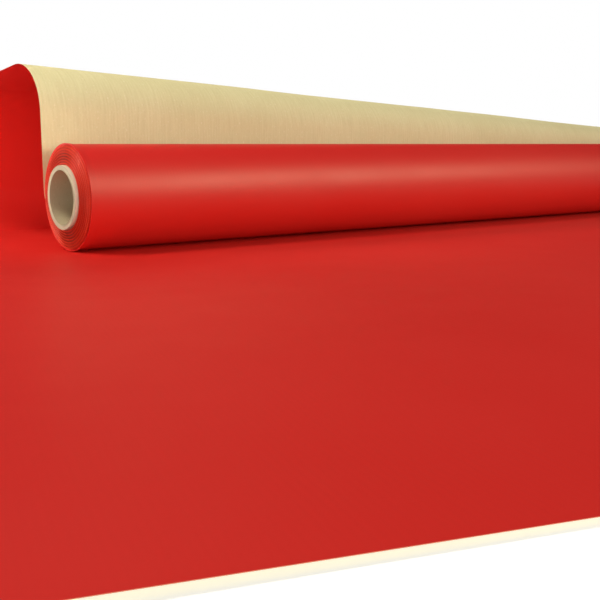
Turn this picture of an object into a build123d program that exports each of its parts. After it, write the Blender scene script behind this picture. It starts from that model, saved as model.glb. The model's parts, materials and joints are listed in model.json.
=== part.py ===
"""Backdrop paper roll: a wide web of paper wound on a spiral cardboard core.

The last stretch of the web is let out. It leaves the roll straight up behind it, turns over in a
loose loop, comes down further back and lies flat on the ground, where it runs forward under the roll.
The loop stands taller at the left end than at the right, so the flat stretch lies askew to the roll.

Frame: the origin is the centre of the core's bore at mid-width, +X runs along the axis to the right,
+Y to the back, +Z up. Millimetres. The roll turns about X and rolls forward along -Y.
"""

import math
import os

from build123d import *

# Driving dimensions of the roll
ROLL_R = 50.0  # outside of the wound paper
PAPER_W = 1350.0  # width of the web
BORE_R = 25.4  # a two inch core
CORE_WALL = 4.6
CORE_STICKS_OUT = 5.6  # beyond the outermost turn at each end
PLY = 0.8  # inner and outer ply of the core
GAP = 0.3  # air between the roll and the web it rolls on

# The let-out web; the real sheet is 0.2 thick
SHEET_T = 0.8
FRONT_RUN = 14.2 * ROLL_R  # flat stretch ahead of the roll's left end, along the web
WRAP_ON_DEG = 28.0  # how far the web follows the roll below its back

# Fold lines of the loop, each as (y, height above the ground), at the left and right ends
CREST_LEFT_H = 3.69 * ROLL_R
CREST_RIGHT_H = 2.16 * ROLL_R
BACK_LEFT = (5.8 * ROLL_R, 3.0 * ROLL_R)
BACK_RIGHT_Y = 2.45 * ROLL_R
FOOT_LEFT_Y = 6.4 * ROLL_R

# How far each bend starts from its fold line, at the left and right ends
CREST_EASE = (1.09 * ROLL_R, 0.56 * ROLL_R)
BACK_EASE = (1.5 * ROLL_R, 0.6 * ROLL_R)
FOOT_EASE = (1.5 * ROLL_R, 0.9 * ROLL_R)
BEND_STEPS = 12

# Wound paper in groups of turns: outer radius, and how far the group stands out past the outer turn
WRAPS = {
    "inner_wraps": (35.6, 2.9),
    "middle_wraps": (41.2, 2.0),
    "outer_wraps": (49.2, 0.9),
    "outer_turn": (ROLL_R, 0.0),
}
TAPE_T = 0.4
TAPE_ARC_DEG = 50.0
TAPE_INSET = 30.0

CORE_R = BORE_R + CORE_WALL
CORE_L = PAPER_W + 2 * CORE_STICKS_OUT
HALF_W = PAPER_W / 2
GROUND_Z = -(ROLL_R + GAP)  # upper face of the flat stretch
WALL_Y = ROLL_R + GAP + SHEET_T  # back face of the rising stretch

FORWARD = Vector(0, -1, 0)
UP = Vector(0, 0, 1)


def ring(r_out, r_in, length):
    """A tube about the X axis, centred on the origin."""
    profile = Circle(r_out) - Circle(r_in)
    return extrude(Plane.YZ * profile, amount=length / 2, both=True)


def sector(r_out, r_in, length, start_deg, end_deg):
    """Part of a tube about the X axis; angles from +Y towards +Z."""
    def at(radius, deg):
        return (radius * math.cos(math.radians(deg)), radius * math.sin(math.radians(deg)))

    middle = (start_deg + end_deg) / 2
    with BuildSketch(Plane.YZ) as profile:
        with BuildLine():
            ThreePointArc(at(r_out, start_deg), at(r_out, middle), at(r_out, end_deg))
            Line(at(r_out, end_deg), at(r_in, end_deg))
            ThreePointArc(at(r_in, end_deg), at(r_in, middle), at(r_in, start_deg))
            Line(at(r_in, start_deg), at(r_out, start_deg))
        make_face()
    return extrude(profile.sketch, amount=length / 2, both=True)


def across(vector, axis):
    """The unit direction of a vector once its part along an axis is taken away."""
    return (vector - axis * vector.dot(axis)).normalized()


def turned(vector, axis, radians):
    return vector.rotate(Axis((0, 0, 0), axis), math.degrees(radians))


class Bend:
    """A cone tangent to two flat stretches of web, so that the paper bends without stretching.

    The two stretches meet in the fold line from left to right. The cone starts ease[0] from the fold
    at the left end and ease[1] at the right, so its apex lies on the fold line beyond the right end.
    """

    def __init__(self, left, right, into, out_of, ease):
        along = (right - left).normalized()
        taper = (ease[0] - ease[1]) / (right - left).length
        spread = math.atan(taper)
        self.apex = left + along * (ease[0] / taper)
        first = along * -math.cos(spread) - into * math.sin(spread)
        last = along * -math.cos(spread) + out_of * math.sin(spread)
        axis = (first - last).cross(across(into, first)).normalized()
        if axis.dot(first) < 0:
            axis = axis * -1
        a, b = across(first, axis), across(last, axis)
        swing = math.atan2(a.cross(b).dot(axis), a.dot(b))
        forward = axis.cross(a).dot(into) > 0
        if forward != (swing > 0):
            swing += 2 * math.pi if forward else -2 * math.pi
        self.axis, self.first, self.swing = axis, first, swing
        self.unroll = math.sin(math.acos(first.dot(axis)))

    def ruling(self, share):
        """The straight line in the cone after a share of the bend, and the way on across it."""
        direction = turned(self.first, self.axis, self.swing * share)
        onward = self.axis.cross(direction).normalized() * math.copysign(1, self.swing)
        return direction, onward


def follow(bends, start, heading):
    """Where one edge of the web runs: for each bend, its points, and the heading after it."""
    point, runs = start, []
    for bend in bends:
        direction, onward = bend.ruling(0)
        point = point + heading * ((bend.apex - point).dot(onward) / heading.dot(onward))
        along = (point - bend.apex).dot(direction)
        slant = math.asin(heading.dot(direction))
        nearest = along * math.cos(slant)
        points = []
        for step in range(BEND_STEPS + 1):
            share = step / BEND_STEPS
            direction, onward = bend.ruling(share)
            angle = slant + abs(bend.swing) * share * bend.unroll
            point = bend.apex + direction * (nearest / math.cos(angle))
            heading = direction * math.sin(angle) + onward * math.cos(angle)
            points.append(point)
        runs.append(points)
    return runs, heading


def loop_bends():
    """The three bends that carry the web from the rising stretch round to the ground."""
    def place(x, y, height):
        return Vector(x, y, GROUND_Z + height)

    crest_l = place(-HALF_W, WALL_Y, CREST_LEFT_H)
    crest_r = place(HALF_W, WALL_Y, CREST_RIGHT_H)
    back_l = place(-HALF_W, *BACK_LEFT)
    foot_l = place(-HALF_W, FOOT_LEFT_Y, 0)

    top = (crest_r - crest_l).cross(back_l - crest_l)
    rise = (top.X * (HALF_W - crest_r.X) + top.Y * (BACK_RIGHT_Y - crest_r.Y)) / top.Z
    back_r = Vector(HALF_W, BACK_RIGHT_Y, crest_r.Z - rise)
    rear = (back_r - back_l).cross(foot_l - back_l)
    foot_y = back_r.Y - rear.Z * (GROUND_Z - back_r.Z) / rear.Y
    foot_r = Vector(HALF_W, foot_y, GROUND_Z)

    crest, back, foot = [(r - l).normalized() for l, r in ((crest_l, crest_r), (back_l, back_r), (foot_l, foot_r))]
    over, down = back_l - crest_l, foot_l - back_l
    return [
        Bend(crest_l, crest_r, across(UP, crest), across(over, crest), CREST_EASE),
        Bend(back_l, back_r, across(over, back), across(down, back), BACK_EASE),
        Bend(foot_l, foot_r, across(down, foot), across(FORWARD, foot), FOOT_EASE),
    ]


def outward(left, right, heading):
    """The unit normal of the web, on the side away from the loop's inside."""
    return (right - left).cross(heading).normalized()


def flat_sheet(corners, normal):
    """A flat stretch of web on the given corners of its inner face."""
    face = Face(Wire.make_polygon(corners, close=True))
    return Solid.extrude(face, normal * SHEET_T)


def bent_sheet(left, right, normals):
    """A bent stretch of web between its left and right edges, ruled straight across."""
    shares = [i / (len(left) - 1) for i in range(len(left))]

    def edge(points):
        return Edge.make_spline(points, parameters=shares)

    inner = [edge(left), edge(right)]
    outer = [edge([p + n * SHEET_T for p, n in zip(side, normals)]) for side in (left, right)]
    faces = [
        Face.make_surface_from_curves(*inner),
        Face.make_surface_from_curves(*outer),
        Face.make_surface_from_curves(inner[0], outer[0]),
        Face.make_surface_from_curves(inner[1], outer[1]),
    ]
    for i in (0, -1):
        lift = normals[i] * SHEET_T
        faces.append(Face(Wire.make_polygon([left[i], right[i], right[i] + lift, left[i] + lift], close=True)))
    return Solid(Shell(faces))


def let_out_web():
    """Every stretch of the web off the roll, by name."""
    bends = loop_bends()
    bottom_l, bottom_r = Vector(-HALF_W, WALL_Y, 0), Vector(HALF_W, WALL_Y, 0)
    left, heading = follow(bends, bottom_l, UP)
    right, _ = follow(bends, bottom_r, UP)

    def normals(i):
        return [
            outward(a, b, bends[i].ruling(step / BEND_STEPS)[1])
            for step, (a, b) in enumerate(zip(left[i], right[i]))
        ]

    crest_n, back_n, foot_n = normals(0), normals(1), normals(2)
    roll_end = Vector(-HALF_W, 0, 0)
    ahead = [FRONT_RUN - (side[2][-1] - roll_end).dot(heading) for side in (left, right)]
    front_l, front_r = left[2][-1] + heading * ahead[0], right[2][-1] + heading * ahead[1]
    return {
        "rising_web": flat_sheet([bottom_l, bottom_r, right[0][0], left[0][0]], crest_n[0]),
        "loop_crest": bent_sheet(left[0], right[0], crest_n),
        "loop_top": flat_sheet([left[0][-1], right[0][-1], right[1][0], left[1][0]], crest_n[-1]),
        "loop_back_bend": bent_sheet(left[1], right[1], back_n),
        "loop_back": flat_sheet([left[1][-1], right[1][-1], right[2][0], left[2][0]], back_n[-1]),
        "loop_foot": bent_sheet(left[2], right[2], foot_n),
        "floor_sheet": flat_sheet([left[2][-1], right[2][-1], front_r, front_l], foot_n[-1]),
    }


def core():
    """The cardboard core, wound from three plies."""
    return {
        "core_inner_ply": ring(BORE_R + PLY, BORE_R, CORE_L),
        "core_body": ring(CORE_R - PLY, BORE_R + PLY, CORE_L),
        "core_outer_ply": ring(CORE_R, CORE_R - PLY, CORE_L),
    }


def start_tape():
    """The strip that holds the paper's first edge to the core."""
    return sector(CORE_R + TAPE_T, CORE_R, PAPER_W - 2 * TAPE_INSET, 40, 40 + TAPE_ARC_DEG)


def wound_paper():
    """The turns of paper on the core, in groups that stand out further towards the core."""
    groups, inside = {}, CORE_R
    for name, (outside, proud) in WRAPS.items():
        groups[name] = ring(outside, inside, PAPER_W + 2 * proud)
        inside = outside
    groups["inner_wraps"] = groups["inner_wraps"] - start_tape()
    return groups


def web_lead():
    """The web's last stretch before the roll, curved with the roll just below its back."""
    return sector(ROLL_R + GAP + SHEET_T, ROLL_R + GAP, PAPER_W, -WRAP_ON_DEG, 0)


def main():
    nodes = core() | wound_paper() | let_out_web()
    nodes["start_tape"] = start_tape()
    nodes["web_lead"] = web_lead()
    os.makedirs("parts", exist_ok=True)
    for name, shape in nodes.items():
        export_step(shape, f"parts/{name}.step")


main()
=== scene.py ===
"""Looks of a backdrop paper roll: a cardboard core, the wound paper and the web let out in a loop.

Metres, in the CAD frame: the origin is the middle of the core's bore, +X runs along the roll to the
right, +Y to the back and +Z up. The web's own coordinates are across, from its left edge, and along.
The web is printed red on one side and is natural kraft on the other. Where it rises behind the roll,
the kraft side faces the front.
"""

import json
import math

import bpy
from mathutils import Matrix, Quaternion, Vector, noise


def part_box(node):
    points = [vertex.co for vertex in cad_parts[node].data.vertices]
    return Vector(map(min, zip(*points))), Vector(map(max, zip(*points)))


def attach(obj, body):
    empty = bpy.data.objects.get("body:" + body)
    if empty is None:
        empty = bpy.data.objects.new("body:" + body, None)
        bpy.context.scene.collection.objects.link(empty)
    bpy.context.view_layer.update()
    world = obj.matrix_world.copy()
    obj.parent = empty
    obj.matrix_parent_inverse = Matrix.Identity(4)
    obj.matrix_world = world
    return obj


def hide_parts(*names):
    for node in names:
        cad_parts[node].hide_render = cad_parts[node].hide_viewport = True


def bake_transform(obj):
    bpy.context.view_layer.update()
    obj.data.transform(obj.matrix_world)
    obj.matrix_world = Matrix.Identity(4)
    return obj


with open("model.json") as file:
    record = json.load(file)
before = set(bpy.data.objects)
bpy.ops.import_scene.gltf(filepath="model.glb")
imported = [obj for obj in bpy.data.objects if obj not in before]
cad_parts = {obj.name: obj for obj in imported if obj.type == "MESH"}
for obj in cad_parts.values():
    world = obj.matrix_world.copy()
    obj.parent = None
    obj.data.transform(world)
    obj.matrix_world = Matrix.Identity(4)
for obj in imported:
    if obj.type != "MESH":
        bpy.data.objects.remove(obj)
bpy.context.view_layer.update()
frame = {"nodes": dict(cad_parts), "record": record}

# ---------------------------------------------------------------- sizes, from the frame
ROLL_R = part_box("outer_turn")[1].z
HALF_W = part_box("outer_turn")[1].x
PAPER_W = 2 * HALF_W
CORE_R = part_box("core_outer_ply")[1].z
CORE_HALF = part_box("core_outer_ply")[1].x
BORE_R = frame["record"]["mounts"][0]["dims"]["r_mm"] / 1000
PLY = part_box("core_inner_ply")[1].z - BORE_R
INNER_WRAPS_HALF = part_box("inner_wraps")[1].x
GROUND_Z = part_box("floor_sheet")[1].z
STAGE_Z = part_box("floor_sheet")[0].z
WALL_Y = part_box("rising_web")[1].y
CAD_SHEET_T = GROUND_Z - STAGE_Z
PAPER_T = 0.00022

# ---------------------------------------------------------------- sizes of the let-out loop
CREST_LEFT_H = 3.69 * ROLL_R
CREST_RIGHT_H = 2.16 * ROLL_R
BACK_LEFT = (5.8 * ROLL_R, 3.0 * ROLL_R)
BACK_RIGHT_Y = 2.45 * ROLL_R
FOOT_LEFT_Y = 6.4 * ROLL_R
CREST_EASE = (1.09 * ROLL_R, 0.56 * ROLL_R)
BACK_EASE = (1.5 * ROLL_R, 0.6 * ROLL_R)
FOOT_EASE = (1.5 * ROLL_R, 0.9 * ROLL_R)
FRONT_RUN = 14.2 * ROLL_R
WRAP_ON = math.radians(28)
LEAD_STEPS = 14
BEND_STEPS = 44
ACROSS_STEPS = 90
RISE_STEPS, TOP_STEPS, BACK_STEPS, GROUND_STEPS = 10, 14, 8, 96  # rows in the flat stretches

# ---------------------------------------------------------------- how the let-out web lies
LEAD_TUCK = 0.008  # over this length the lead draws in from the roll's rims
SINK_END, SINK_RUN = 0.012, 0.022  # along the web, where the lead comes free of the roll's skin
SINK_DEPTH = 0.0001  # below the skin
LOOP_WAVES = (0.02, 0.09)  # along the web, where the loop's ripples start and are full
SETTLES = (0.05, 0.4)  # along the web, where it passes from the CAD sheet's outer to its inner face
FOOT_WAVES = (0.003, 0.05)  # heights above the ground where the foot's ripples start and are full
SWELLS_FROM = (0.28, 0.4)  # ahead of the roll's axis, clear of its travel
SWELL_H, SWELL_LIFT = 0.0022, 0.45
CURL_H, CURL_LIFT, CURL_RUN = 0.0022, 0.6, 0.09
BROAD_WAVE_H, SMALL_WAVE_H = 0.0009, 0.0004
BROAD_WAVE, SMALL_WAVE, SWELL, CURL = (0.21, 3.1), (0.07, 8.4), (0.33, 5.7), (0.4, 1.3)  # size, seed

# ---------------------------------------------------------------- sizes of the wound paper
SKIN_R = ROLL_R - 0.0008  # between the lips, which stand up at both ends
LIP = 0.008
RIM_ROUND = 0.0028
RIM_DROP = 0.0007
END_RISE = INNER_WRAPS_HALF - HALF_W  # how far the inner turns stand out
TURNS = 80
RIB_PITCH = 0.0034
SKIN_SLACK = 0.00012
SLACK_FULL = 0.05  # how far in from the rims the slack is full
SKIN_FLANGE = 0.006  # how far in from the lip the skin is closed, under the wound end

# ---------------------------------------------------------------- the wound end's rings
# Places are shares of the wall of paper, from its outside to the core.
FIRST_HOLLOW = 0.03
HOLLOW_POWER = 1.3  # a higher one makes each hollow narrower
RINGS_DEEPEN = (0.36, 0.46)
RINGS_EASE_FROM, RINGS_EASE_TO = 0.62, 0.55  # from this place on, down to this share at the core

FORWARD = Vector((0, -1, 0))
UP = Vector((0, 0, 1))
WHITE = (1, 1, 1)
SHARP_ANGLE = math.radians(50)
MIDDLE = Vector((-0.35, -0.1, 0))  # where most of the lights aim


# ---------------------------------------------------------------- meshes
def new_piece(name, verts, faces, corner_uv=None, materials=(), face_material=None):
    """A smooth mesh object at the origin. corner_uv holds one (u, v) for each face corner."""
    mesh = bpy.data.meshes.new(name)
    mesh.from_pydata(verts, [], faces)
    for material in materials:
        mesh.materials.append(material)
    if face_material:
        mesh.polygons.foreach_set("material_index", face_material)
    if corner_uv:
        layer = mesh.uv_layers.new(name="web")
        layer.data.foreach_set("uv", [value for uv in corner_uv for value in uv])
    mesh.polygons.foreach_set("use_smooth", [True] * len(faces))
    mesh.update()
    mesh.set_sharp_from_angle(angle=SHARP_ANGLE)
    piece = bpy.data.objects.new(name, mesh)
    bpy.context.scene.collection.objects.link(piece)
    return piece


def smooth_share(value, low, high):
    share = min(1.0, max(0.0, (value - low) / (high - low)))
    return share * share * (3 - 2 * share)


# ---------------------------------------------------------------- the let-out web
def off_axis(vector, axis):
    return (vector - axis * vector.dot(axis)).normalized()


class Bend:
    """A cone tangent to two flat stretches of web, so that the paper bends without stretching."""

    def __init__(self, left, right, into, out_of, ease):
        along = (right - left).normalized()
        taper = (ease[0] - ease[1]) / (right - left).length
        spread = math.atan(taper)
        self.apex = left + along * (ease[0] / taper)
        first = along * -math.cos(spread) - into * math.sin(spread)
        last = along * -math.cos(spread) + out_of * math.sin(spread)
        axis = (first - last).cross(off_axis(into, first)).normalized()
        if axis.dot(first) < 0:
            axis = -axis
        a, b = off_axis(first, axis), off_axis(last, axis)
        swing = math.atan2(a.cross(b).dot(axis), a.dot(b))
        forward = axis.cross(a).dot(into) > 0
        if forward != (swing > 0):
            swing += 2 * math.pi if forward else -2 * math.pi
        self.axis, self.first, self.swing = axis, first, swing
        self.unroll = math.sin(math.acos(first.dot(axis)))

    def ruling(self, share):
        """The straight line in the cone after a share of the bend, and the way on across it."""
        direction = Quaternion(self.axis, self.swing * share) @ self.first
        return direction, self.axis.cross(direction).normalized() * math.copysign(1, self.swing)


def follow(bends, start, heading):
    """One edge of the web through the bends: each bend's points, and the heading after the last."""
    point, runs = start, []
    for bend in bends:
        direction, onward = bend.ruling(0)
        point = point + heading * ((bend.apex - point).dot(onward) / heading.dot(onward))
        slant = math.asin(heading.dot(direction))
        nearest = (point - bend.apex).dot(direction) * math.cos(slant)
        run = []
        for step in range(BEND_STEPS + 1):
            share = step / BEND_STEPS
            direction, onward = bend.ruling(share)
            angle = slant + abs(bend.swing) * share * bend.unroll
            point = bend.apex + direction * (nearest / math.cos(angle))
            heading = direction * math.sin(angle) + onward * math.cos(angle)
            run.append(point)
        runs.append(run)
    return runs, heading


def loop_bends():
    """The three bends that carry the web from the rising stretch round to the ground."""

    def place(x, y, height):
        return Vector((x, y, GROUND_Z + height))

    crest_l = place(-HALF_W, WALL_Y, CREST_LEFT_H)
    crest_r = place(HALF_W, WALL_Y, CREST_RIGHT_H)
    back_l = place(-HALF_W, *BACK_LEFT)
    foot_l = place(-HALF_W, FOOT_LEFT_Y, 0)
    top = (crest_r - crest_l).cross(back_l - crest_l)
    back_r = Vector((HALF_W, BACK_RIGHT_Y, crest_r.z - top.y * (BACK_RIGHT_Y - crest_r.y) / top.z))
    rear = (back_r - back_l).cross(foot_l - back_l)
    foot_r = Vector((HALF_W, back_r.y - rear.z * (GROUND_Z - back_r.z) / rear.y, GROUND_Z))
    folds = ((crest_l, crest_r), (back_l, back_r), (foot_l, foot_r))
    crest, back, foot = [(right - left).normalized() for left, right in folds]
    over, down = back_l - crest_l, foot_l - back_l
    return [
        Bend(crest_l, crest_r, off_axis(UP, crest), off_axis(over, crest), CREST_EASE),
        Bend(back_l, back_r, off_axis(over, back), off_axis(down, back), BACK_EASE),
        Bend(foot_l, foot_r, off_axis(down, foot), off_axis(FORWARD, foot), FOOT_EASE),
    ]


class Row:
    """A straight line across the web, with the web's normal there on its kraft side.

    along_l and along_r say how far along the web its two ends are.
    """

    def __init__(self, left, right, normal, along_l, along_r):
        self.left, self.right, self.normal = left, right, normal
        self.along_l, self.along_r = along_l, along_r

    def at(self, share):
        point = self.left.lerp(self.right, share)
        return point, share * PAPER_W, self.along_l + (self.along_r - self.along_l) * share

    def towards(self, other, share):
        return Row(
            self.left.lerp(other.left, share),
            self.right.lerp(other.right, share),
            self.normal,
            self.along_l + (other.along_l - self.along_l) * share,
            self.along_r + (other.along_r - self.along_r) * share,
        )


def between(first, last, steps):
    """Rows that fill a flat stretch, without its two end rows."""
    return [first.towards(last, i / steps) for i in range(1, steps)]


def lead_rows():
    """Rows where the web still lies on the roll, up to the line where it leaves it."""
    rows = []
    for step in range(LEAD_STEPS + 1):
        angle = -WRAP_ON * (1 - step / LEAD_STEPS)
        normal = Vector((0, -math.cos(angle), -math.sin(angle)))
        y, z = WALL_Y * math.cos(angle), WALL_Y * math.sin(angle)
        along = angle * ROLL_R
        half = HALF_W - 2 * RIM_DROP * smooth_share(-along, 0.0, LEAD_TUCK)
        rows.append(Row(Vector((-half, y, z)), Vector((half, y, z)), normal, along, along))
    return rows


def bend_rows(bend, left, right, before):
    """The rows of one bend, counted along the web from the row before it."""
    rows = [before]
    for step, (a, b) in enumerate(zip(left, right)):
        normal = (b - a).cross(bend.ruling(step / BEND_STEPS)[1]).normalized()
        last = rows[-1]
        along_l = last.along_l + (a - last.left).length
        rows.append(Row(a, b, normal, along_l, last.along_r + (b - last.right).length))
    return rows[1:]


def web_rows():
    """The rows of the loop piece and of the ground piece."""
    bends = loop_bends()
    left, heading = follow(bends, Vector((-HALF_W, WALL_Y, 0)), UP)
    right, _ = follow(bends, Vector((HALF_W, WALL_Y, 0)), UP)
    lead = lead_rows()
    crest = bend_rows(bends[0], left[0], right[0], lead[-1])
    back = bend_rows(bends[1], left[1], right[1], crest[-1])
    foot = bend_rows(bends[2], left[2], right[2], back[-1])
    last = foot[-1]
    roll_end = Vector((-HALF_W, 0, 0))
    ahead_l = FRONT_RUN - (last.left - roll_end).dot(heading)
    ahead_r = FRONT_RUN - (last.right - roll_end).dot(heading)
    front = Row(
        last.left + heading * ahead_l,
        last.right + heading * ahead_r,
        last.normal,
        last.along_l + ahead_l,
        last.along_r + ahead_r,
    )
    rise = between(lead[-1], crest[0], RISE_STEPS)
    top = between(crest[-1], back[0], TOP_STEPS)
    rear = between(back[-1], foot[0], BACK_STEPS)
    ahead = between(last, front, GROUND_STEPS)
    return lead + rise + crest + top + back, [back[-1]] + rear + foot + ahead + [front]


def ripple(across, along, size, seed):
    return noise.noise(Vector((across / size, along / size, seed)))


def slow_wave(across, along):
    broad = BROAD_WAVE_H * ripple(across, along, *BROAD_WAVE)
    return broad + SMALL_WAVE_H * ripple(across, along, *SMALL_WAVE)


def paper_sheet(name, rows, red_lift, materials):
    """A closed thin sheet from rows. red_lift says how far its red face stands off the rows."""
    red_side, kraft_side, uv = [], [], []
    for row in rows:
        for step in range(ACROSS_STEPS + 1):
            point, across, along = row.at(step / ACROSS_STEPS)
            lift = red_lift(point, across, along)
            red_side.append(point - row.normal * lift)
            kraft_side.append(point - row.normal * (lift - PAPER_T))
            uv.append((across, along))
    wide, tall, count = ACROSS_STEPS + 1, len(rows), len(uv)
    faces, ids, corners = [], [], []

    def add(face, kind):
        faces.append(face)
        ids.append(kind)
        corners.extend(uv[corner % count] for corner in face)

    def add_edge(a, b):
        add((a, b, b + count, a + count), 2)

    for i in range(tall - 1):
        for j in range(wide - 1):
            a, b, c, d = i * wide + j, i * wide + j + 1, (i + 1) * wide + j + 1, (i + 1) * wide + j
            add((a, d, c, b), 0)
            add((a + count, b + count, c + count, d + count), 1)
        add_edge((i + 1) * wide, i * wide)
        add_edge(i * wide + wide - 1, (i + 1) * wide + wide - 1)
    for j in range(wide - 1):
        add_edge(j, j + 1)
        add_edge((tall - 1) * wide + j + 1, (tall - 1) * wide + j)
    return new_piece(name, red_side + kraft_side, faces, corners, materials, ids)


def loop_lift(point, across, along):
    """The lead sinks into the roll's skin, and the loop has slow ripples away from the roll."""
    free = smooth_share(along, *LOOP_WAVES)
    settle = (CAD_SHEET_T - PAPER_T) * (1 - smooth_share(along, *SETTLES))
    depth = WALL_Y - settle - SKIN_R + SINK_DEPTH
    sunk = depth * smooth_share(SINK_END - along, 0.0, SINK_RUN)
    return slow_wave(across, along) * free - settle - sunk


def ground_lift(point, across, along):
    """Flat where the roll rests and travels, with low swells beyond and a slight curl at the end."""
    start, full = FOOT_WAVES
    wave = slow_wave(across, along) * smooth_share(point.z, GROUND_Z + start, GROUND_Z + full)
    clear = smooth_share(-point.y, *SWELLS_FROM)
    swell = clear * SWELL_H * (ripple(across, along, *SWELL) + SWELL_LIFT)
    curl = smooth_share(along, ground_end - CURL_RUN, ground_end)
    curl *= CURL_H * (CURL_LIFT + ripple(across, along, *CURL))
    return wave + max(0.0, swell) + max(0.0, curl)


# ---------------------------------------------------------------- node trees
def put(tree, kind, inputs=None, **settings):
    """A node with its settings made and its inputs linked or set."""
    node = tree.nodes.new(kind)
    for key, value in settings.items():
        setattr(node, key, value)
    for key, value in (inputs or {}).items():
        give(tree, node.inputs[key], value)
    return node


def give(tree, socket, value):
    """Links another node's output to a socket, or sets the socket's own value."""
    if isinstance(value, bpy.types.NodeSocket):
        tree.links.new(value, socket)
    elif isinstance(value, tuple) and socket.type == "RGBA":
        socket.default_value = (*value, 1)
    else:
        socket.default_value = value


def calc(tree, operation, a, b=0.0, c=0.0, clamp=False):
    inputs = {0: a, 1: b, 2: c}
    return put(tree, "ShaderNodeMath", inputs, operation=operation, use_clamp=clamp).outputs[0]


def mix_colour(tree, share, a, b):
    return put(tree, "ShaderNodeMix", {0: share, 6: a, 7: b}, data_type="RGBA").outputs[2]


def mix_value(tree, share, a, b):
    return put(tree, "ShaderNodeMix", {0: share, 2: a, 3: b}, data_type="FLOAT").outputs[0]


def remap(tree, value, low, high, out_low=0.0, out_high=1.0, kind="LINEAR"):
    inputs = {
        "Value": value,
        "From Min": low,
        "From Max": high,
        "To Min": out_low,
        "To Max": out_high,
    }
    return put(tree, "ShaderNodeMapRange", inputs, interpolation_type=kind).outputs[0]


def split(tree, vector):
    return put(tree, "ShaderNodeSeparateXYZ", {0: vector}).outputs


def length_of(tree, a, b):
    squares = calc(tree, "ADD", calc(tree, "MULTIPLY", a, a), calc(tree, "MULTIPLY", b, b))
    return calc(tree, "SQRT", squares)


def stretched(tree, vector, scale, shift=(0, 0, 0)):
    inputs = {"Vector": vector, "Scale": scale, "Location": shift}
    return put(tree, "ShaderNodeMapping", inputs).outputs[0]


def clouds(tree, vector, scale, detail=2.0, roughness=0.5):
    inputs = {"Vector": vector, "Scale": scale, "Detail": detail, "Roughness": roughness}
    return put(tree, "ShaderNodeTexNoise", inputs).outputs[0]


def bump(tree, height, distance, onto=None):
    inputs = {"Height": height, "Distance": distance}
    if onto is not None:
        inputs["Normal"] = onto
    return put(tree, "ShaderNodeBump", inputs).outputs[0]


FLOAT, VECTOR, WHOLE = "NodeSocketFloat", "NodeSocketVector", "NodeSocketInt"


def new_group(name, kind, inputs, outputs):
    """A node group with typed, named sockets. inputs maps a name to (type, default)."""
    tree = bpy.data.node_groups.new(name, kind)
    for label, (socket, default) in inputs.items():
        made = tree.interface.new_socket(label, in_out="INPUT", socket_type=socket)
        if default is not None:
            made.default_value = default
    for label, socket in outputs.items():
        tree.interface.new_socket(label, in_out="OUTPUT", socket_type=socket)
    return tree, tree.nodes.new("NodeGroupInput").outputs, tree.nodes.new("NodeGroupOutput").inputs


def place_group(tree, group, inputs):
    """One use of a node group, with its own values."""
    node = tree.nodes.new("ShaderNodeGroup")
    node.node_tree = group
    for key, value in inputs.items():
        give(tree, node.inputs[key], value)
    return node.outputs


def rib_group():
    """Fine ribs that run along the web, a little uneven."""
    inputs = {"Web": (VECTOR, None), "Pitch": (FLOAT, RIB_PITCH)}
    tree, given, out = new_group("web_ribs", "ShaderNodeTree", inputs, {"Height": FLOAT})
    drift = clouds(tree, given["Web"], 22.0)
    across = calc(tree, "MULTIPLY_ADD", drift, 0.0012, split(tree, given["Web"])[0])
    turns = calc(tree, "DIVIDE", across, given["Pitch"])
    wave = calc(tree, "SINE", calc(tree, "MULTIPLY", turns, 2 * math.pi))
    uneven = clouds(tree, stretched(tree, given["Web"], (120.0, 9.0, 1.0)), 1.0)
    strength = remap(tree, uneven, 0.3, 0.75, 0.35, 1.0)
    height = calc(tree, "MULTIPLY_ADD", calc(tree, "MULTIPLY", wave, strength), 0.5, 0.5)
    tree.links.new(height, out["Height"])
    return tree


def fibre_group():
    """Paper fibres: flecks and streaks drawn out along the web, a fine tooth and slow clouds."""
    inputs = {"Web": (VECTOR, None), "Size": (FLOAT, 0.004)}
    outputs = {"Flecks": FLOAT, "Pale": FLOAT, "Streaks": FLOAT, "Cloud": FLOAT, "Tooth": FLOAT}
    tree, given, out = new_group("paper_fibres", "ShaderNodeTree", inputs, outputs)
    grow = calc(tree, "DIVIDE", 1.0, given["Size"])
    grown = {0: given["Web"], 3: grow}
    scaled = put(tree, "ShaderNodeVectorMath", grown, operation="SCALE").outputs[0]
    dark = clouds(tree, stretched(tree, scaled, (3.2, 0.8, 1.0)), 1.0, 3.0, 0.7)
    pale = clouds(tree, stretched(tree, scaled, (2.1, 1.2, 1.0), (7.3, 2.9, 4.0)), 1.0)
    tree.links.new(remap(tree, dark, 0.6, 0.72), out["Flecks"])
    tree.links.new(remap(tree, pale, 0.6, 0.72), out["Pale"])
    tree.links.new(clouds(tree, stretched(tree, scaled, (1.3, 0.12, 1.0)), 1.0), out["Streaks"])
    tree.links.new(clouds(tree, given["Web"], 9.0, 4.0), out["Cloud"])
    tree.links.new(clouds(tree, scaled, 6.0), out["Tooth"])
    return tree


def new_material(name, **constants):
    """A material with a Principled shader; constants are set on the shader's own sockets."""
    material = bpy.data.materials.new(name)
    material.use_nodes = True
    shader = material.node_tree.nodes["Principled BSDF"]
    for label, value in constants.items():
        shader.inputs[label.replace("_", " ")].default_value = value
    return material, material.node_tree, shader.inputs


def web_place(tree):
    return put(tree, "ShaderNodeUVMap", uv_map="web").outputs[0]


def object_place(tree):
    return put(tree, "ShaderNodeTexCoord").outputs["Object"]


def toned(colour, by):
    return tuple(by * channel for channel in colour)


def mask(tree, value, strength):
    """A group's mask at part of its strength."""
    return calc(tree, "MULTIPLY", value, strength)


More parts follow.
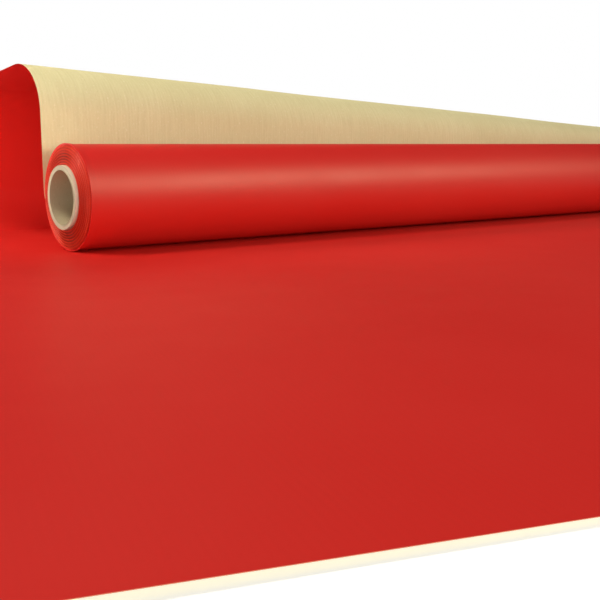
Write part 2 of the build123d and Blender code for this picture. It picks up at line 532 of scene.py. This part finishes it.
def red_print_material():
    """The printed side: satin red with a fine grain, and the ribs just showing under the print."""
    material, tree, shader = new_material("red_print", Specular_IOR_Level=0.22)
    web = web_place(tree)
    rib = place_group(tree, ribs, {"Web": web, "Pitch": RIB_PITCH})["Height"]
    fibre = place_group(tree, fibres, {"Web": web, "Size": 0.006})
    broad = clouds(tree, web, 2.6, 1.0)
    colour = mix_colour(tree, remap(tree, broad, 0.35, 0.65), RED_DEEP, RED_WARM)
    grain = remap(tree, fibre["Tooth"], 0.35, 0.65, 0.0, 0.10)
    colour = mix_colour(tree, grain, colour, RED_WARM)
    colour = mix_colour(tree, mask(tree, rib, 0.08), colour, RED_RIB)
    tree.links.new(colour, shader["Base Color"])
    tree.links.new(remap(tree, fibre["Cloud"], 0.25, 0.75, 0.44, 0.52), shader["Roughness"])
    normal = bump(tree, rib, 0.00003)
    tree.links.new(bump(tree, fibre["Tooth"], 0.000012, normal), shader["Normal"])
    return material


def kraft_material():
    """The unprinted side: matt tan kraft with ribs, streaks and fibre flecks."""
    material, tree, shader = new_material("natural_kraft", Specular_IOR_Level=0.2)
    web = web_place(tree)
    rib = place_group(tree, ribs, {"Web": web, "Pitch": RIB_PITCH})["Height"]
    fibre = place_group(tree, fibres, {"Web": web, "Size": 0.0035})
    colour = mix_colour(tree, remap(tree, fibre["Cloud"], 0.25, 0.75), KRAFT_DARK, KRAFT_PALE)
    colour = mix_colour(tree, mask(tree, rib, 0.2), colour, KRAFT_RIB)
    streaks = remap(tree, fibre["Streaks"], 0.35, 0.7, 0.0, 0.35)
    colour = mix_colour(tree, streaks, colour, KRAFT_RIB)
    colour = mix_colour(tree, mask(tree, fibre["Flecks"], 0.3), colour, KRAFT_FLECK)
    colour = mix_colour(tree, mask(tree, fibre["Pale"], 0.3), colour, KRAFT_BRIGHT)
    tree.links.new(colour, shader["Base Color"])
    tree.links.new(remap(tree, fibre["Tooth"], 0.3, 0.7, 0.72, 0.88), shader["Roughness"])
    normal = bump(tree, rib, 0.00005)
    tree.links.new(bump(tree, fibre["Tooth"], 0.00003, normal), shader["Normal"])
    return material


def sheet_edge_material():
    """The cut edge of the let-out web."""
    material, tree, shader = new_material("sheet_edge", Specular_IOR_Level=0.3)
    fibre = place_group(tree, fibres, {"Web": web_place(tree), "Size": 0.002})
    colour = mix_colour(tree, fibre["Cloud"], SHEET_EDGE_DARK, SHEET_EDGE_PALE)
    tree.links.new(colour, shader["Base Color"])
    tree.links.new(remap(tree, fibre["Tooth"], 0.3, 0.7, 0.55, 0.75), shader["Roughness"])
    return material


def wound_edge_material():
    """The wound turns at the roll's end: cut edges, with painted shade in the hollows between the
    rings and a painted highlight on the rings' crests.
    """
    material, tree, shader = new_material("wound_edges", Specular_IOR_Level=0.26)
    spots = put(tree, "ShaderNodeTexCoord").outputs
    at, facing = split(tree, spots["Object"]), split(tree, spots["Normal"])
    fibre = place_group(tree, fibres, {"Web": spots["Object"], "Size": 0.002})
    hollow = put(tree, "ShaderNodeAttribute", attribute_name="hollow").outputs["Fac"]
    out_y = calc(tree, "MULTIPLY", at[1], facing[1])
    out_z = calc(tree, "MULTIPLY", at[2], facing[2])
    outward = calc(tree, "ADD", out_y, out_z)
    side = mix_colour(tree, calc(tree, "GREATER_THAN", outward, 0.0), TURN_INSIDE, TURN_OUTSIDE)
    cut = mix_colour(tree, remap(tree, fibre["Cloud"], 0.3, 0.7), CUT_DEEP, CUT_WARM)
    # Painted highlight: the crests of the rings, where no hollow lies, are painted lighter.
    crest = remap(tree, hollow, 0.0, 0.12, 1.0, 0.0)
    cut = mix_colour(tree, mask(tree, crest, 0.3), cut, CUT_CREST_HIGHLIGHT)
    cut = mix_colour(tree, mask(tree, fibre["Flecks"], 0.4), cut, CUT_FLECK)
    end_on = remap(tree, calc(tree, "ABSOLUTE", facing[0]), 0.3, 0.7)
    colour = mix_colour(tree, end_on, side, cut)
    # Painted shade: the deeper a hollow between the rings, the more its colour is darkened.
    deep = remap(tree, hollow, 0.10, 0.65, 0.0, 0.92)
    tree.links.new(mix_colour(tree, deep, colour, CUT_HOLLOW_SHADE), shader["Base Color"])
    tree.links.new(remap(tree, fibre["Tooth"], 0.3, 0.7, 0.34, 0.46), shader["Roughness"])
    return material


def board_material(name, dark, pale, seam_pitch):
    """Pale brown board with fibres, and the seam of its spiral winding."""
    material, tree, shader = new_material(name, Specular_IOR_Level=0.25)
    place = object_place(tree)
    fibre = place_group(tree, fibres, {"Web": place, "Size": 0.003})
    at = split(tree, place)
    round_share = calc(tree, "DIVIDE", calc(tree, "ARCTAN2", at[2], at[1]), 2 * math.pi)
    turns = calc(tree, "ADD", calc(tree, "DIVIDE", at[0], seam_pitch), round_share)
    off_seam = calc(tree, "ABSOLUTE", calc(tree, "SUBTRACT", calc(tree, "FRACT", turns), 0.5))
    seam = remap(tree, off_seam, 0.0, 0.012, 1.0, 0.0)
    colour = mix_colour(tree, remap(tree, fibre["Cloud"], 0.25, 0.75), dark, pale)
    colour = mix_colour(tree, mask(tree, fibre["Flecks"], 0.4), colour, toned(dark, 0.5))
    colour = mix_colour(tree, mask(tree, fibre["Pale"], 0.3), colour, toned(pale, 1.2))
    colour = mix_colour(tree, mask(tree, seam, 0.6), colour, toned(dark, 0.35))
    tree.links.new(colour, shader["Base Color"])
    tree.links.new(remap(tree, fibre["Tooth"], 0.3, 0.7, 0.72, 0.9), shader["Roughness"])
    normal = bump(tree, seam, -0.0003)
    tree.links.new(bump(tree, fibre["Tooth"], 0.00008, normal), shader["Normal"])
    return material


def sawn_board_material():
    """The sawn end of the core: pale board in thin rings of ply."""
    material, tree, shader = new_material("sawn_board", Specular_IOR_Level=0.2, Roughness=0.9)
    place = object_place(tree)
    fibre = place_group(tree, fibres, {"Web": place, "Size": 0.0016})
    at = split(tree, place)
    wobble = calc(tree, "MULTIPLY_ADD", fibre["Cloud"], 0.0004, length_of(tree, at[1], at[2]))
    turns = calc(tree, "MULTIPLY", wobble, math.pi / SAWN_PLY_T)
    ply = calc(tree, "ABSOLUTE", calc(tree, "SINE", turns))
    line = remap(tree, ply, 0.0, 0.35, 1.0, 0.0)
    colour = mix_colour(tree, fibre["Cloud"], SAWN_DARK, SAWN_PALE)
    colour = mix_colour(tree, mask(tree, line, 0.4), colour, SAWN_LINE)
    colour = mix_colour(tree, mask(tree, fibre["Flecks"], 0.35), colour, SAWN_FLECK)
    tree.links.new(colour, shader["Base Color"])
    rough = calc(tree, "SUBTRACT", fibre["Tooth"], line)
    tree.links.new(bump(tree, rough, 0.0001), shader["Normal"])
    return material


def gummed_tape_material():
    """The pale paper tape that holds the paper's first edge to the core."""
    material, tree, shader = new_material("gummed_tape", Specular_IOR_Level=0.35)
    fibre = place_group(tree, fibres, {"Web": object_place(tree), "Size": 0.004})
    colour = mix_colour(tree, fibre["Cloud"], TAPE_DARK, TAPE_PALE)
    colour = mix_colour(tree, mask(tree, fibre["Flecks"], 0.3), colour, TAPE_FLECK)
    tree.links.new(colour, shader["Base Color"])
    tree.links.new(remap(tree, fibre["Cloud"], 0.3, 0.7, 0.45, 0.6), shader["Roughness"])
    tree.links.new(bump(tree, fibre["Tooth"], 0.00004), shader["Normal"])
    return material


def pale_floor_material():
    """A white floor that glows a little, so that it stays pale far from the lights."""
    material, _, shader = new_material(
        "pale_floor", Specular_IOR_Level=0.1, Roughness=0.9, Emission_Strength=FLOOR_GLOW
    )
    shader["Base Color"].default_value = (*FLOOR_WHITE, 1)
    shader["Emission Color"].default_value = (*WHITE, 1)
    return material


# ---------------------------------------------------------------- the wound ends
def end_profile(tree, given, radius):
    """How far a turn's edge stands out past the rim, and how deep it lies in a hollow.

    Both follow from its radius. The turns lie in rings, shallow outside and deep nearer the core.
    """
    wall = calc(tree, "SUBTRACT", given["Outer radius"], given["Inner radius"])
    deep = calc(tree, "SUBTRACT", given["Outer radius"], radius)
    share = calc(tree, "DIVIDE", deep, wall, clamp=True)
    rise = calc(tree, "MULTIPLY", share, given["Rise"])
    rim = calc(tree, "SUBTRACT", 1.0, calc(tree, "DIVIDE", deep, given["Rim round"]), clamp=True)
    drop = calc(tree, "MULTIPLY", calc(tree, "MULTIPLY", rim, rim), given["Rim drop"])
    phase = calc(tree, "DIVIDE", calc(tree, "SUBTRACT", share, FIRST_HOLLOW), given["Ring share"])
    crest = calc(tree, "ABSOLUTE", calc(tree, "SINE", calc(tree, "MULTIPLY", phase, math.pi)))
    hollow = calc(tree, "POWER", calc(tree, "SUBTRACT", 1.0, crest), HOLLOW_POWER)
    depths = (given["Shallow ring"], given["Deep ring"])
    deepen = remap(tree, share, *RINGS_DEEPEN, *depths, "SMOOTHSTEP")
    ease_off = remap(tree, share, RINGS_EASE_FROM, 1.0, 1.0, RINGS_EASE_TO, "SMOOTHSTEP")
    dip = calc(tree, "MULTIPLY", hollow, calc(tree, "MULTIPLY", deepen, ease_off))
    height = calc(tree, "SUBTRACT", calc(tree, "SUBTRACT", rise, drop), dip)
    return height, calc(tree, "DIVIDE", dip, given["Deep ring"], clamp=True)


def wound_end_tree(material):
    """One long spiral of paper seen from its edge, in rings that stand out towards the core."""
    sizes = {
        "Inner radius": (FLOAT, CORE_R + 0.0001),
        "Outer radius": (FLOAT, SKIN_R - 0.00025),
        "Turns": (FLOAT, TURNS),
        "Points per turn": (WHOLE, 90),
        "Thickness": (FLOAT, 0.00019),
        "Corner": (FLOAT, 0.00006),
        "Depth": (FLOAT, 0.007),
        "Rise": (FLOAT, END_RISE),
        "Rim round": (FLOAT, RIM_ROUND),
        "Rim drop": (FLOAT, RIM_DROP),
        "Ring share": (FLOAT, 0.137),
        "Shallow ring": (FLOAT, 0.0011),
        "Deep ring": (FLOAT, 0.0028),
        "Loose": (FLOAT, 0.00022),
        "Side": (FLOAT, 1.0),
        "Place": (FLOAT, HALF_W),
    }
    outputs = {"Geometry": "NodeSocketGeometry"}
    tree, given, out = new_group("wound_end", "GeometryNodeTree", sizes, outputs)
    spiral = put(tree, "GeometryNodeCurveSpiral", {
        "Resolution": given["Points per turn"], "Rotations": given["Turns"],
        "Start Radius": given["Inner radius"], "End Radius": given["Outer radius"], "Height": 0.0,
    }).outputs[0]
    place = put(tree, "GeometryNodeInputPosition").outputs[0]
    at = split(tree, place)
    radius = length_of(tree, at[0], at[1])
    by_turn = calc(tree, "MULTIPLY", radius, 4200.0)
    each_turn = put(tree, "ShaderNodeCombineXYZ", {0: by_turn}).outputs[0]
    uneven = calc(tree, "ADD", clouds(tree, each_turn, 1.0, 1.0), clouds(tree, place, 38.0, 1.0))
    jitter = calc(tree, "MULTIPLY", calc(tree, "SUBTRACT", uneven, 1.0), given["Loose"])
    profile, shade = end_profile(tree, given, radius)
    height = calc(tree, "ADD", profile, jitter)
    lifted = put(tree, "ShaderNodeCombineXYZ", {
        0: at[0],
        1: calc(tree, "MULTIPLY", at[1], given["Side"]),
        2: calc(tree, "SUBTRACT", height, calc(tree, "MULTIPLY", given["Depth"], 0.5)),
    }).outputs[0]
    # The hollow's depth share is stored on the paper; the material paints shade and highlight by it.
    shaped = put(tree, "GeometryNodeStoreNamedAttribute", {
        "Geometry": spiral, "Name": "hollow", "Value": shade,
    }, data_type="FLOAT", domain="POINT").outputs[0]
    lifts = {"Geometry": shaped, "Position": lifted}
    shaped = put(tree, "GeometryNodeSetPosition", lifts).outputs[0]
    upright = put(tree, "GeometryNodeSetCurveNormal", {"Curve": shaped}, mode="Z_UP").outputs[0]
    strip = put(tree, "GeometryNodeCurvePrimitiveQuadrilateral", {
        "Width": given["Thickness"], "Height": given["Depth"],
    }).outputs[0]
    strip = put(tree, "GeometryNodeFilletCurve", {
        "Curve": strip, "Count": 1, "Radius": given["Corner"],
    }, mode="POLY").outputs[0]
    paper = put(tree, "GeometryNodeCurveToMesh", {
        "Curve": upright, "Profile Curve": strip, "Fill Caps": True,
    }).outputs[0]
    quarter = calc(tree, "MULTIPLY", given["Side"], math.pi / 2)
    outward = put(tree, "ShaderNodeCombineXYZ", {1: quarter})
    move = put(tree, "ShaderNodeCombineXYZ", {0: given["Place"]})
    placed = put(tree, "GeometryNodeTransform", {
        "Geometry": paper, "Translation": move.outputs[0], "Rotation": outward.outputs[0],
    }).outputs[0]
    real = put(tree, "GeometryNodeRealizeInstances", {0: placed}).outputs[0]
    done = put(tree, "GeometryNodeSetMaterial", {"Geometry": real, "Material": material}).outputs[0]
    tree.links.new(done, out["Geometry"])
    return tree


def from_tree(name, tree, values):
    """Runs a geometry tree on an empty mesh and keeps the result as a plain mesh piece."""
    host = new_piece(name, [], [])
    modifier = host.modifiers.new("make", "NODES")
    modifier.node_group = tree
    for item in tree.interface.items_tree:
        if item.in_out == "INPUT" and item.name in values:
            modifier[item.identifier] = values[item.name]
    evaluated = host.evaluated_get(bpy.context.evaluated_depsgraph_get())
    mesh = bpy.data.meshes.new_from_object(evaluated)
    host.modifiers.remove(modifier)
    host.data = mesh
    mesh.name = name
    return host


# ---------------------------------------------------------------- the roll's skin and the core
def unit_circle(steps):
    angles = [2 * math.pi * step / steps for step in range(steps)]
    return [(math.cos(angle), math.sin(angle)) for angle in angles]


def roll_skin(material):
    """The outermost turn: smooth in the middle, with lips that stand up at both ends."""
    reach = HALF_W - RIM_DROP
    columns, lip_columns = 150, 8
    xs = [-reach + 2 * reach * i / columns for i in range(columns + 1)]
    near = [reach - LIP * i / lip_columns for i in range(lip_columns + 1)]
    xs = sorted({round(x, 6) for x in xs + near + [-x for x in near]})
    around, verts, faces, corners = 144, [], [], []
    circle = unit_circle(around)
    for x in xs:
        inboard = reach - abs(x)
        flare = (ROLL_R - SKIN_R) * (1 - smooth_share(inboard, 0, LIP))
        for y, z in circle:
            slack = SKIN_SLACK * noise.noise(Vector((x * 5, y * 1.3, z * 1.3)))
            r = SKIN_R + flare + slack * smooth_share(inboard, 0, SLACK_FULL)
            verts.append((x, r * y, r * z))
    last = len(xs) - 1

    def add(face, uv):
        faces.append(face)
        corners.extend(uv)

    def web(row, column):
        return (xs[row] + HALF_W, 2 * math.pi * column / around * ROLL_R)

    for i in range(last):
        for j in range(around):
            k = (j + 1) % around
            face = (i * around + j, i * around + k, (i + 1) * around + k, (i + 1) * around + j)
            add(face, [web(i, j), web(i, j + 1), web(i + 1, j + 1), web(i + 1, j)])
    count = len(verts)
    for x in (xs[0] + SKIN_FLANGE, xs[-1] - SKIN_FLANGE):
        verts += [(x, CORE_R * y, CORE_R * z) for y, z in circle]
    for j in range(around):
        k = (j + 1) % around
        left = [web(0, j), web(0, j + 1)]
        right = [web(last, j), web(last, j + 1)]
        add((j, count + j, count + k, k), [left[0], left[0], left[1], left[1]])
        face = (last * around + k, count + around + k, count + around + j, last * around + j)
        add(face, [right[1], right[1], right[0], right[0]])
        face = (count + j, count + around + j, count + around + k, count + k)
        add(face, [left[0], right[0], right[1], left[1]])
    return new_piece("roll_skin", verts, faces, corners, [material])


def tube_outline(outer, inner, half, soften):
    """The closed outline of a tube's wall as (x, radius) points, with its corners rounded."""
    outline = []
    for x, r, turn in ((half, outer, 1), (half, inner, -1), (-half, inner, 1), (-half, outer, -1)):
        to_x = -math.copysign(soften, x)
        to_r = -soften if r == outer else soften
        for degrees in (0, 30, 60, 90)[::turn]:
            a = math.radians(degrees)
            outline.append((x + to_x * (1 - math.sin(a)), r + to_r * (1 - math.cos(a))))
    return outline


def turned_tube(name, outer, inner, half, side_material):
    """A tube turned about X. Its end faces are sawn, and its sides have a material of their own."""
    soften, steps = 0.0003, 128
    outline = tube_outline(outer, inner, half, soften)
    count = len(outline)
    verts, faces, ids = [], [], []
    for y, z in unit_circle(steps):
        verts += [(x, r * y, r * z) for x, r in outline]
    for step in range(steps):
        here, there = step * count, (step + 1) % steps * count
        for i in range(count):
            j = (i + 1) % count
            faces.append((here + i, there + i, there + j, here + j))
            ids.append(int(min(abs(outline[i][0]), abs(outline[j][0])) > half - soften * 0.6))
    return new_piece(name, verts, faces, None, [side_material, sawn], ids)


# ---------------------------------------------------------------- camera, light and floor
CAMERA_PLACE = (-7.706, -16.586, 0.985)  # from the roll's left end, in radii of the roll
CAMERA_TURN, CAMERA_TILT = math.radians(38.63), math.radians(9.31)
CAMERA_LENS, CAMERA_SENSOR = 57.14, 36
ROOM_LIGHT = 0.31
MIRRORED_LIGHT = (0.01, 0.2)  # low in the room and overhead
FLOOR_GLOW, FLOOR_WHITE, FLOOR_REACH = 0.35, (0.92, 0.92, 0.92), 30


def soft_light(
    name, turn, rise, away, size, power, colour=WHITE, gloss=True, matt=True, spread=180, at=MIDDLE
):
    """An area light aimed at a point, from an azimuth and an elevation in degrees.

    Azimuth 0 is the front and 90 the right. gloss says whether glossy reflections show the light,
    and matt whether it lights matt surfaces. spread is how wide the light opens, in degrees.
    """
    a, e = math.radians(turn), math.radians(rise)
    out = Vector((math.sin(a) * math.cos(e), -math.cos(a) * math.cos(e), math.sin(e)))
    data = bpy.data.lights.new(name, "AREA")
    data.shape, data.size, data.size_y = "RECTANGLE", size[0], size[1]
    data.energy, data.color, data.spread = power, colour, math.radians(spread)
    light = bpy.data.objects.new(name, data)
    light.location = at + out * away
    light.rotation_euler = (-out).to_track_quat("-Z", "Y").to_euler()
    light.visible_glossy, light.visible_diffuse = gloss, matt
    bpy.context.scene.collection.objects.link(light)


def make_camera():
    level = math.cos(CAMERA_TILT)
    across, back = math.sin(CAMERA_TURN) * level, math.cos(CAMERA_TURN) * level
    ahead = Vector((across, back, -math.sin(CAMERA_TILT)))
    data = bpy.data.cameras.new("camera")
    data.lens, data.sensor_width = CAMERA_LENS, CAMERA_SENSOR
    data.clip_end = 100
    camera = bpy.data.objects.new("camera", data)
    camera.location = Vector((-HALF_W, 0, 0)) + ROLL_R * Vector(CAMERA_PLACE)
    camera.rotation_euler = ahead.to_track_quat("-Z", "Y").to_euler()
    bpy.context.scene.collection.objects.link(camera)
    bpy.context.scene.camera = camera


def make_studio():
    """A white studio: soft light all round, dim in low reflections, and a few area lights."""
    world = bpy.data.worlds.new("studio")
    world.use_nodes = True
    tree = world.node_tree
    rays = put(tree, "ShaderNodeLightPath").outputs
    height = split(tree, put(tree, "ShaderNodeTexCoord").outputs["Generated"])[2]
    mirrored = remap(tree, height, 0.5, 1.0, *MIRRORED_LIGHT)
    light = mix_value(tree, rays["Is Glossy Ray"], ROOM_LIGHT, mirrored)
    light = mix_value(tree, rays["Is Camera Ray"], light, 1.0)
    tree.links.new(light, tree.nodes["Background"].inputs["Strength"])
    tree.nodes["Background"].inputs["Color"].default_value = (*WHITE, 1)
    bpy.context.scene.world = world
    bpy.context.scene.view_settings.view_transform = "Standard"

    roll_end, in_loop = Vector((-HALF_W, 0, 0)), Vector((-HALF_W + 0.07, 0.3, -0.005))
    soft_light("back_softbox", 160, 35, 2.6, (1.0, 0.6), 25, gloss=False)
    soft_light("front_fill", -4, 9, 2.4, (0.6, 0.6), 29, gloss=False)
    soft_light("front_strip", 28, 28, 2.4, (2.2, 1.0), 118, (1.0, 0.86, 0.56), matt=False)
    soft_light("left_softbox", -116, 52, 2.0, (0.5, 0.5), 22, (1.0, 0.93, 0.82))
    warm = (1.0, 0.84, 0.62)
    soft_light("end_light", -112, 25, 1.0, (0.12, 0.12), 0.085, warm, spread=24, at=roll_end)
    soft_light("loop_light", -45, 8, 0.6, (0.2, 0.2), 0.17, gloss=False, spread=44, at=in_loop)
    ends = ((-1, -1), (1, -1), (1, 1), (-1, 1))
    corners = [(x * FLOOR_REACH, y * FLOOR_REACH, STAGE_Z) for x, y in ends]
    new_piece("floor", corners, [(0, 1, 2, 3)], None, [pale_floor_material()])


# ---------------------------------------------------------------- finishes
RED_DEEP, RED_WARM, RED_RIB = (0.60, 0.012, 0.008), (0.64, 0.018, 0.012), (0.52, 0.010, 0.007)
KRAFT_DARK, KRAFT_PALE = (0.68, 0.605, 0.31), (0.76, 0.69, 0.38)
KRAFT_RIB, KRAFT_FLECK, KRAFT_BRIGHT = (0.60, 0.51, 0.25), (0.36, 0.28, 0.13), (0.88, 0.80, 0.54)
SHEET_EDGE_DARK, SHEET_EDGE_PALE = (0.50, 0.16, 0.09), (0.60, 0.24, 0.14)
TURN_INSIDE, TURN_OUTSIDE = (0.40, 0.016, 0.006), (0.58, 0.020, 0.008)
# The last colour on the next line is a painted highlight for the crests of the rings.
CUT_DEEP, CUT_WARM, CUT_CREST_HIGHLIGHT = (0.60, 0.024, 0.008), (0.68, 0.040, 0.014), (0.80, 0.13, 0.06)
# Below: a fleck colour, and painted shade for the hollows between the rings.
CUT_FLECK, CUT_HOLLOW_SHADE = (0.50, 0.03, 0.01), (0.17, 0.003, 0.002)
BOARD_DARK, BOARD_PALE = (0.54, 0.46, 0.32), (0.64, 0.56, 0.41)
LINER_DARK, LINER_PALE = (0.35, 0.29, 0.17), (0.46, 0.39, 0.25)
BOARD_SEAM_PITCH, LINER_SEAM_PITCH = 0.11, 0.085
SAWN_DARK, SAWN_PALE = (0.40, 0.37, 0.26), (0.51, 0.48, 0.35)
SAWN_LINE, SAWN_FLECK, SAWN_PLY_T = (0.44, 0.37, 0.26), (0.38, 0.31, 0.21), 0.00065
TAPE_DARK, TAPE_PALE, TAPE_FLECK = (0.70, 0.63, 0.48), (0.80, 0.74, 0.60), (0.52, 0.43, 0.30)

ribs, fibres = rib_group(), fibre_group()
red, kraft, sheet_edge = red_print_material(), kraft_material(), sheet_edge_material()
board = board_material("core_board", BOARD_DARK, BOARD_PALE, BOARD_SEAM_PITCH)
liner = board_material("core_liner", LINER_DARK, LINER_PALE, LINER_SEAM_PITCH)
sawn = sawn_board_material()

# ---------------------------------------------------------------- the let-out web's pieces
make_camera()
loop_rows, ground_rows = web_rows()
ground_end = min(ground_rows[-1].along_l, ground_rows[-1].along_r)
web_sides = [red, kraft, sheet_edge]
loop_piece = paper_sheet("let_out_loop", loop_rows, loop_lift, web_sides)
ground_piece = paper_sheet("ground_sheet", ground_rows, ground_lift, web_sides)
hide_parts("rising_web", "web_lead", "loop_crest", "loop_top", "loop_back_bend")
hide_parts("loop_back", "loop_foot", "floor_sheet")
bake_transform(loop_piece)
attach(ground_piece, "sheet")

# ---------------------------------------------------------------- the roll's pieces
skin = roll_skin(red)
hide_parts("outer_turn")
end_tree = wound_end_tree(wound_edge_material())
wound_left = from_tree("wound_end_left", end_tree, {"Side": -1.0, "Place": -HALF_W})
wound_right = from_tree("wound_end_right", end_tree, {"Side": 1.0, "Place": HALF_W})
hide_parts("inner_wraps", "middle_wraps", "outer_wraps")

lined, wrapped = BORE_R + PLY, CORE_R - PLY
core_parts = {
    "core_inner_ply": turned_tube("core_liner_ply", lined, BORE_R, CORE_HALF, liner),
    "core_body": turned_tube("core_wall", wrapped, lined, CORE_HALF - 0.0003, board),
    "core_outer_ply": turned_tube("core_cover_ply", CORE_R, wrapped, CORE_HALF - 0.0001, board),
}
for node, piece in core_parts.items():
    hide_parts(node)
for piece in (skin, wound_left, wound_right, *core_parts.values()):
    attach(piece, "roll")

tape_slots = frame["nodes"]["start_tape"].data.materials
tape_slots.clear()
tape_slots.append(gummed_tape_material())

make_studio()
